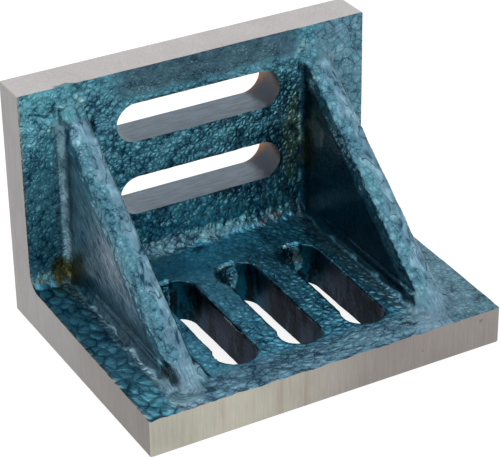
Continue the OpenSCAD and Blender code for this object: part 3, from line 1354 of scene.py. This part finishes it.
@dataclass(frozen=True)
class CoreIron:
    """Walls of the base slots: cast iron under thin, nearly black paint that ran down them."""

    name: str = "core_iron"
    shine: float = 0.9
    roughness: float = 0.45
    specular: float = 0.1
    specular_tint: Colour = (0.64, 0.66, 0.7)
    iron: Colour = srgb(39, 51, 65)
    drip: Colour = srgb(12, 22, 30)
    teal: Colour = srgb(8, 66, 84)
    stroke: tuple[float, float, float] = (1, 1, 0.3)
    run_size: float = 5 * MM
    run_span: Span = (0.56, 0.7)
    grain_size: float = 1.1 * MM
    grain_share: float = 0.25
    grain_height: float = 0.1 * MM
    teal_y: float = 4 * MM
    teal_fade: float = 9 * MM
    teal_ragged: float = 8 * MM

    def build(self) -> bpy.types.Material:
        """Builds the material of the base slots' walls."""
        finish = Finish(self.name)
        where = finish.place()
        run = finish.vector("MULTIPLY", where, self.stroke)
        run = finish.noise(run, self.run_size, detail=3, roughness=0.6)
        grain = finish.noise(where, self.grain_size)
        share = finish.rise(finish.add(run, finish.times(grain, self.grain_share)), *self.run_span)
        back = finish.add(finish.parts(where)[1], finish.times(run, self.teal_ragged))
        back = finish.rise(back, self.teal_y, self.teal_y + self.teal_fade)
        iron = finish.blend(back, self.iron, self.teal)
        finish.shade({
            "Base Color": finish.blend(share, iron, self.drip),
            "Metallic": self.shine,
            "Roughness": self.roughness,
            "Specular IOR Level": self.specular,
            "Specular Tint": self.specular_tint,
        })
        finish.bump(finish.times(grain, self.grain_height))
        return finish.material


class Skin(Enum):
    """The casting's surfaces, in the order of its material slots."""

    PAINT = 0
    GROUND = 1
    SLOT = 2
    CORE = 3


# ---------------------------------------------------------------- the casting


@dataclass(frozen=True)
class Relief:
    """The lumps and hammered cells that stand out of the painted skin."""

    lump_size: float = 9 * MM
    lump_height: float = 0.5 * MM
    lump_sink: float = 0.48
    border_size: float = 3.2 * MM
    border_height: float = 1.3 * MM
    border_sink: float = 0.36

    def tree(self) -> bpy.types.GeometryNodeTree:
        """Builds the geometry node tree, with its sizes as named inputs.

        Returns:
            The tree, which moves each point of a mesh along its normal.
        """
        tree = bpy.data.node_groups.new("paint_relief", "GeometryNodeTree")
        tree.interface.new_socket("Geometry", in_out="INPUT", socket_type="NodeSocketGeometry")
        for name in ("Lump size", "Lump height", "Border size", "Border height"):
            tree.interface.new_socket(name, in_out="INPUT", socket_type="NodeSocketFloat")
        tree.interface.new_socket("Paint", in_out="INPUT", socket_type="NodeSocketMaterial")
        tree.interface.new_socket("Geometry", in_out="OUTPUT", socket_type="NodeSocketGeometry")
        graph = Graph(tree)
        given = graph.node("NodeGroupInput").outputs
        where = graph.node("GeometryNodeInputPosition").outputs[0]
        normal = graph.node("GeometryNodeInputNormal").outputs[0]
        sizes = given["Lump size"], given["Lump height"]
        lump = self.lumps(graph, where, *sizes, self.lump_sink)
        sizes = given["Border size"], given["Border height"]
        border = self.lumps(graph, where, *sizes, self.border_sink)
        border = graph.times(border, graph.attribute("lumpy"))
        heights = []
        for pattern in (Pattern.COARSE, Pattern.LARGE, Pattern.DRAWN):
            _, height = pattern.value.build(graph, where)
            heights.append(graph.times(height, graph.attribute(pattern.name)))
        swell = graph.attribute("swell")
        offset = graph.scaled(normal, graph.add(lump, border, swell, *heights))
        moved = graph.node("GeometryNodeSetPosition", {
            "Geometry": given["Geometry"], "Offset": offset}).outputs[0]
        whole = graph.node("GeometryNodeRealizeInstances", {0: moved}).outputs[0]
        painted = graph.node("GeometryNodeSetMaterial", {
            "Geometry": whole, "Material": given["Paint"]}).outputs[0]
        graph.node("NodeGroupOutput", {0: painted})
        return tree

    def lumps(
        self, graph: Graph, where: object, size: object, height: object, level: float
    ) -> Socket:
        """Adds smooth lumps of one size.

        Args:
            graph: The relief's graph.
            where: The place on the casting, in metres.
            size: Size of the largest lumps.
            height: Height from the deepest hollow to the highest lump.
            level: The share of that height that sinks under the surface.

        Returns:
            The height at each point.
        """
        noise = graph.node("ShaderNodeTexNoise", {
            "Vector": where,
            "Scale": graph.math("DIVIDE", 1, size),
            "Detail": 2,
        }).outputs[0]
        return graph.times(graph.math("SUBTRACT", noise, level), height)

    def apply(self, piece: bpy.types.Object, paint: bpy.types.Material) -> None:
        """Raises the relief on a piece.

        Args:
            piece: The piece, whose mesh carries the zone attributes.
            paint: The material that its faces take.
        """
        modifier = piece.modifiers.new("relief", "NODES")
        modifier.node_group = self.tree()
        values = {
            "Lump size": self.lump_size,
            "Lump height": self.lump_height,
            "Border size": self.border_size,
            "Border height": self.border_height,
            "Paint": paint,
        }
        for socket in modifier.node_group.interface.items_tree:
            if socket.in_out == "INPUT" and socket.name in values:
                modifier[socket.identifier] = values[socket.name]
        settle(piece)


@dataclass(frozen=True)
class Casting:
    """The whole plate, from the raw body to the ground and slotted piece."""

    sizes: PlateSizes
    slots: tuple[SlotRun, ...]
    node: bpy.types.Object
    stock: float = 2 * MM
    grain: float = 0.36 * MM
    edge_r: float = 0.4 * MM
    lobe: float = 0.8 * MM
    pits: tuple[tuple[float, float, float], ...] = (mm(30.7, 5.5, 0.4), mm(50.7, 9.2, 0.6))
    pit_out: float = 0.4
    rim_shade: float = 0.55
    lip_swell: float = -0.3 * MM
    rim_swell: float = -0.8 * MM
    lip_lumps: float = 0.8
    worn_share: float = 0.6
    patch_wander: float = 2
    core_share: float = 0.5
    weld: float = 0.001 * MM
    arc_steps: int = 24
    most_triangles: int = 360_000

    def wall_outline(self) -> list[Vector]:
        """Section of both walls across the width, with stock left on the outside."""
        sizes, stock, radius = self.sizes, self.stock, self.sizes.root_r
        front, back = sizes.low.y - stock, sizes.high.y + stock
        bottom, top = sizes.low.z - stock, sizes.high.z + stock
        middle_y = sizes.upright_y - radius
        middle_z = float(sizes.base_top(sizes.upright_y)) + radius
        corners = [(front, bottom), (back, bottom), (back, top), (sizes.upright_y, top)]
        for i in range(self.arc_steps + 1):
            turn = math.radians(90) * i / self.arc_steps
            corners.append((
                middle_y + radius * math.cos(turn),
                middle_z - radius * math.sin(turn),
            ))
        corners.append((front, float(sizes.base_top(front))))
        start = sizes.low.x - stock
        return [Vector((start, y, z)) for y, z in corners]

    def slot_cutter(self, slot: SlotRun, depth: float, lean: float = 0) -> bpy.types.Object:
        """Makes the solid that cuts a slot.

        Args:
            slot: The slot.
            depth: How far the cutter reaches each way from the slot's centre.
            lean: How far the end at the front stands off to the left.

        Returns:
            The cutter.
        """
        across = slot.through.cross(slot.along)
        start = slot.centre - slot.through * depth
        outline = []
        for end in (1, -1):
            for i in range(self.arc_steps + 1):
                turn = math.pi * (i / self.arc_steps - 0.5)
                offset = slot.along * (end * (slot.reach + slot.radius * math.cos(turn)))
                offset += across * (end * slot.radius * math.sin(turn))
                outline.append(start + offset)
        cutter = prism("slot_cutter", outline, slot.through * 2 * depth)
        if lean:
            centre = slot.centre - slot.along * slot.reach - Vector((lean, 0, 0))
            round_end = replace(slot, centre=centre, length=2 * slot.radius)
            self.join_solids(cutter, [self.slot_cutter(round_end, depth)], "UNION")
        return cutter

    def join_solids(
        self, piece: bpy.types.Object, others: Iterable[bpy.types.Object], operation: str
    ) -> None:
        """Cuts, joins or trims a piece with other solids, which are used up.

        Args:
            piece: The piece that stays.
            others: The solids that act on it.
            operation: DIFFERENCE, UNION or INTERSECT.
        """
        others = list(others)
        for other in others:
            modifier = piece.modifiers.new("solid", "BOOLEAN")
            modifier.object = other
            modifier.operation = operation
            modifier.solver = "MANIFOLD"
        settle(piece)
        discard(*others)

    def raw_body(self) -> bpy.types.Object:
        """Makes the body with stock on the outside and every inner form in place.

        Returns:
            The body, evenly meshed at the casting's grain.
        """
        width = self.sizes.high.x - self.sizes.low.x + 2 * self.stock
        body = prism("raw_body", self.wall_outline(), Vector((width, 0, 0)))
        through = 3 * self.sizes.base_t
        base_slots = [slot for slot in self.slots if slot.in_base]
        cutters = [self.slot_cutter(slot, through, self.lobe) for slot in base_slots]
        self.join_solids(body, cutters, "DIFFERENCE")
        work = bmesh.new()
        work.from_mesh(self.node.data)
        bmesh.ops.remove_doubles(work, verts=work.verts, dist=self.weld)
        work.from_mesh(body.data)
        work.to_mesh(body.data)
        work.free()
        remesh = body.modifiers.new("grain", "REMESH")
        remesh.mode = "VOXEL"
        remesh.voxel_size = self.grain
        settle(body)
        return body

    def block(self) -> bpy.types.Object:
        """Makes the block that the outside is ground to, with its edges just rounded."""
        low, high = self.sizes.low, self.sizes.high
        corners = [(low.x, low.y), (high.x, low.y), (high.x, high.y), (low.x, high.y)]
        outline = [Vector((x, y, low.z)) for x, y in corners]
        made = prism("ground_block", outline, Vector((0, 0, high.z - low.z)))
        work = bmesh.new()
        work.from_mesh(made.data)
        bmesh.ops.bevel(
            work, geom=work.edges[:], offset=self.edge_r, segments=3, profile=0.5, affect="EDGES"
        )
        work.to_mesh(made.data)
        work.free()
        return made

    def pit(self, x: float, z: float, radius: float) -> bpy.types.Object:
        """Makes the ball that leaves a small casting pit in the front face.

        Args:
            x: The pit's place across the face.
            z: Its height.
            radius: The ball's radius.

        Returns:
            The ball, its centre just outside the face.
        """
        work = bmesh.new()
        bmesh.ops.create_icosphere(work, subdivisions=3, radius=radius)
        place = Vector((x, self.sizes.low.y - self.pit_out * radius, z))
        bmesh.ops.translate(work, verts=work.verts, vec=place)
        mesh = bpy.data.meshes.new("pit")
        work.to_mesh(mesh)
        work.free()
        return new_object("pit", mesh)

    def mark(self, piece: bpy.types.Object) -> None:
        """Writes the zones' colours and patterns onto a piece's points.

        Args:
            piece: The piece to mark.
        """
        mesh = piece.data
        points = positions(mesh)
        zones = ZoneMap(self.sizes, self.slots)
        weights = zones.weights(points)
        colours = sum(weights[zone][:, None] * np.array(LOOKS[zone].colour) for zone in Zone)
        # Painted shade: the slots' rims are darkened to dim the highlight on their rounded edges.
        colours = colours * (1 - self.rim_shade * zones.rim(points))[:, None]
        lip = zones.lip(points)
        swell = self.lip_swell * lip + self.rim_swell * zones.soft_rim(points)
        worn = self.worn_share * zones.worn_end(points)[:, None]
        colours = colours + worn * (np.array(BARE) - colours)
        loose = points + self.patch_wander * zones.wander(points)
        for patch in PATCHES:
            share = patch.share(loose)
            colours = colours + share[:, None] * (np.array(patch.colour) - colours)
            swell = swell + share * patch.swell * MM
        self.write(mesh, "swell", swell)
        self.write(mesh, "zone_colour", colours)
        for pattern in Pattern:
            like = [zone for zone in Zone if LOOKS[zone].pattern is pattern]
            self.write(mesh, pattern.name, sum(weights[zone] for zone in like))
        lumpy = sum(LOOKS[zone].lumpy * weights[zone] for zone in Zone)
        self.write(mesh, "lumpy", lumpy + self.lip_lumps * lip)
        self.write(mesh, "painted_glints", sum(LOOKS[zone].painted_glints * weights[zone] for zone in Zone))
        self.write(mesh, "from_toe", zones.from_toe(points))

    @staticmethod
    def write(mesh: bpy.types.Mesh, name: str, values: Array) -> None:
        """Stores one number or one colour per point as a named attribute.

        Args:
            mesh: The mesh, which may hold the attribute already.
            name: The attribute's name.
            values: A number per point, or rows of red, green and blue.
        """
        if name in mesh.attributes:
            mesh.attributes.remove(mesh.attributes[name])
        if values.ndim == 1:
            layer = mesh.attributes.new(name, "FLOAT", "POINT")
            layer.data.foreach_set("value", values.astype(np.float32))
        else:
            layer = mesh.attributes.new(name, "FLOAT_COLOR", "POINT")
            opaque = np.ones((len(values), 1))
            layer.data.foreach_set("color", np.hstack([values, opaque]).astype(np.float32).ravel())

    def build(self, skins: dict[Skin, bpy.types.Material]) -> bpy.types.Object:
        """Makes the finished casting.

        Args:
            skins: The material of each surface.

        Returns:
            The casting, as one closed mesh.
        """
        casting = self.raw_body()
        LOG.info("raw body: %d faces", len(casting.data.polygons))
        self.mark(casting)
        Relief().apply(casting, skins[Skin.PAINT])
        self.thin(casting)
        self.give_skins(casting, skins, Skin.PAINT)
        block = self.block()
        self.give_skins(block, skins, Skin.GROUND)
        self.join_solids(casting, [block], "INTERSECT")
        through = 2 * self.sizes.upright_t
        upright_slots = [slot for slot in self.slots if not slot.in_base]
        cutters = [self.slot_cutter(slot, through) for slot in upright_slots]
        for cutter in cutters:
            self.give_skins(cutter, skins, Skin.SLOT)
        balls = [self.pit(*pit) for pit in self.pits]
        for ball in balls:
            self.give_skins(ball, skins, Skin.GROUND)
        self.join_solids(casting, [*cutters, *balls], "DIFFERENCE")
        self.mark(casting)
        self.tell_cores(casting)
        self.sharpen(casting)
        casting.name = "iron_casting"
        LOG.info("finished casting: %d faces", len(casting.data.polygons))
        return casting

    @staticmethod
    def give_skins(
        piece: bpy.types.Object, skins: dict[Skin, bpy.types.Material], skin: Skin
    ) -> None:
        """Gives a piece every material slot, and all of its faces one of them."""
        piece.data.materials.clear()
        for kind in Skin:
            piece.data.materials.append(skins[kind])
        indices = np.full(len(piece.data.polygons), skin.value, np.int32)
        piece.data.polygons.foreach_set("material_index", indices)

    def tell_cores(self, piece: bpy.types.Object) -> None:
        """Gives the walls of the base slots their own surface."""
        mesh = piece.data
        flat = np.empty(len(mesh.polygons) * 3)
        mesh.polygons.foreach_get("center", flat)
        weights = ZoneMap(self.sizes, self.slots).weights(flat.reshape(-1, 3))
        indices = np.empty(len(mesh.polygons), np.int32)
        mesh.polygons.foreach_get("material_index", indices)
        cores = (indices == Skin.PAINT.value) & (weights[Zone.SLOT_WALL] > self.core_share)
        indices[cores] = Skin.CORE.value
        mesh.polygons.foreach_set("material_index", indices)

    def thin(self, piece: bpy.types.Object) -> None:
        """Takes triangles out where the surface is flattest, down to the limit."""
        triangles = sum(len(face.vertices) - 2 for face in piece.data.polygons)
        LOG.info("triangles before thinning: %d", triangles)
        if triangles > self.most_triangles:
            modifier = piece.modifiers.new("thin", "DECIMATE")
            modifier.ratio = self.most_triangles / triangles
            settle(piece)

    def sharpen(self, piece: bpy.types.Object) -> None:
        """Shades the paint smooth and the ground faces flat, with crisp borders."""
        work = bmesh.new()
        work.from_mesh(piece.data)
        for face in work.faces:
            face.smooth = face.material_index != Skin.GROUND.value
        for edge in work.edges:
            kinds = {face.material_index for face in edge.link_faces}
            edge.smooth = len(kinds) == 1 or kinds == {Skin.PAINT.value, Skin.CORE.value}
        work.to_mesh(piece.data)
        work.free()


# ---------------------------------------------------------------- studio


@dataclass(frozen=True)
class StudioCamera:
    """The camera, aimed from the front left and above."""

    azimuth: float = math.radians(-29.07)
    elevation: float = math.radians(29.70)
    roll: float = math.radians(-0.80)
    distance: float = 607.7 * MM
    aim_height: float = 34.3 * MM
    shift_x: float = -0.66 * MM
    shift_y: float = -1.13 * MM
    lens: float = 151.04
    sensor_width: float = 36

    def build(self) -> None:
        """Places the camera and makes it the scene's own."""
        turn, rise = self.azimuth, self.elevation
        back = Vector((
            math.sin(turn) * math.cos(rise),
            -math.cos(turn) * math.cos(rise),
            math.sin(rise),
        ))
        level = Vector((math.cos(turn), math.sin(turn), 0))
        upright = back.cross(level)
        right = level * math.cos(self.roll) + upright * math.sin(self.roll)
        up = upright * math.cos(self.roll) - level * math.sin(self.roll)
        data = bpy.data.cameras.new("studio_camera")
        data.lens = self.lens
        data.sensor_width = self.sensor_width
        camera = bpy.data.objects.new("studio_camera", data)
        place = Vector((0, 0, self.aim_height))
        place += right * self.shift_x + up * self.shift_y + back * self.distance
        axes = Matrix((right, up, back)).transposed().to_4x4()
        camera.matrix_world = Matrix.Translation(place) @ axes
        bpy.context.scene.collection.objects.link(camera)
        bpy.context.scene.camera = camera


@dataclass(frozen=True)
class Lamp:
    """One soft area lamp that points at the plate."""

    name: str
    place: Vector
    size: float
    watts: float
    aim_height: float = 30 * MM

    def build(self) -> None:
        """Hangs the lamp."""
        data = bpy.data.lights.new(self.name, "AREA")
        data.shape = "DISK"
        data.size = self.size
        data.energy = self.watts
        lamp = bpy.data.objects.new(self.name, data)
        aim = Vector((0, 0, self.aim_height))
        turned = (self.place - aim).to_track_quat("Z", "Y")
        lamp.matrix_world = Matrix.Translation(self.place) @ turned.to_matrix().to_4x4()
        bpy.context.scene.collection.objects.link(lamp)


@dataclass(frozen=True)
class Studio:
    """A pale floor, soft lamps and white surroundings."""

    floor_half: float = 3.0
    floor_drop: float = 0.1 * MM
    floor_colour: Colour = (0.4, 0.4, 0.4)
    floor_roughness: float = 0.9
    floor_glow: float = 0.82
    lamps: tuple[Lamp, ...] = (
        Lamp("lamp_overhead", Vector((0.25, -0.25, 1.1)), 1.2, 1.5),
        Lamp("lamp_front_left", Vector((-0.9, -0.9, 0.6)), 0.6, 0.6),
    )
    surroundings: float = 0.6
    background: float = 1.0

    @staticmethod
    def mirror_view(graph: Graph) -> Socket:
        """Tells the camera's rays and reflections from the rays that carry light."""
        path = graph.node("ShaderNodeLightPath").outputs
        seen = graph.math("MAXIMUM", path["Is Camera Ray"], path["Is Glossy Ray"])
        return graph.math("MAXIMUM", seen, path["Is Transmission Ray"])

    def build_world(self) -> None:
        """Makes the surroundings white to the eye and softer as a light."""
        world = bpy.data.worlds.new("studio")
        world.use_nodes = True
        bpy.context.scene.world = world
        graph = Graph(world.node_tree)
        shader = world.node_tree.nodes["Background"]
        seen = self.mirror_view(graph)
        strength = graph.rise(seen, 0, 1, self.surroundings, self.background)
        graph.feed(shader.inputs["Strength"], strength)
        shader.inputs["Color"].default_value = (1, 1, 1, 1)

    def build_floor(self) -> None:
        """Lays the floor, which shows white but keeps the plate's shadow."""
        half = self.floor_half
        corners = [(-half, -half), (half, -half), (half, half), (-half, half)]
        mesh = bpy.data.meshes.new("floor")
        mesh.from_pydata([(x, y, -self.floor_drop) for x, y in corners], [], [(0, 1, 2, 3)])
        floor = new_object("floor", mesh)
        finish = Finish("floor")
        finish.shade({
            "Base Color": self.floor_colour,
            "Roughness": self.floor_roughness,
            "Emission Color": (1, 1, 1),
            "Emission Strength": finish.times(self.mirror_view(finish), self.floor_glow),
        })
        mesh.materials.append(finish.material)

    def build(self) -> None:
        """Sets the whole studio up."""
        self.build_world()
        self.build_floor()
        for lamp in self.lamps:
            lamp.build()
        StudioCamera().build()
        bpy.context.scene.view_settings.view_transform = "Standard"


# ---------------------------------------------------------------- building the scene


def main() -> None:
    """Builds the plate and its studio, and reports each piece."""
    logging.basicConfig(level=logging.INFO, format="%(name)s: %(message)s")
    low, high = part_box(NODE)
    mounts = frame["record"]["mounts"]
    slots = tuple(SlotRun.from_mount(m) for m in mounts if "slot_length_mm" in m["dims"])
    sizes = PlateSizes(low, high)
    skins = {
        Skin.PAINT: HammerPaint().build(),
        Skin.GROUND: GroundIron(sizes).build(),
        Skin.SLOT: SlotIron().build(),
        Skin.CORE: CoreIron().build(),
    }
    casting = Casting(sizes, slots, frame["nodes"][NODE]).build(skins)
    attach(casting, BODY)
    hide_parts(NODE)
    LOG.info("%s rides on %s and stands for %s", casting.name, BODY, NODE)
    Studio().build()


if __name__ == "__main__":
    main()
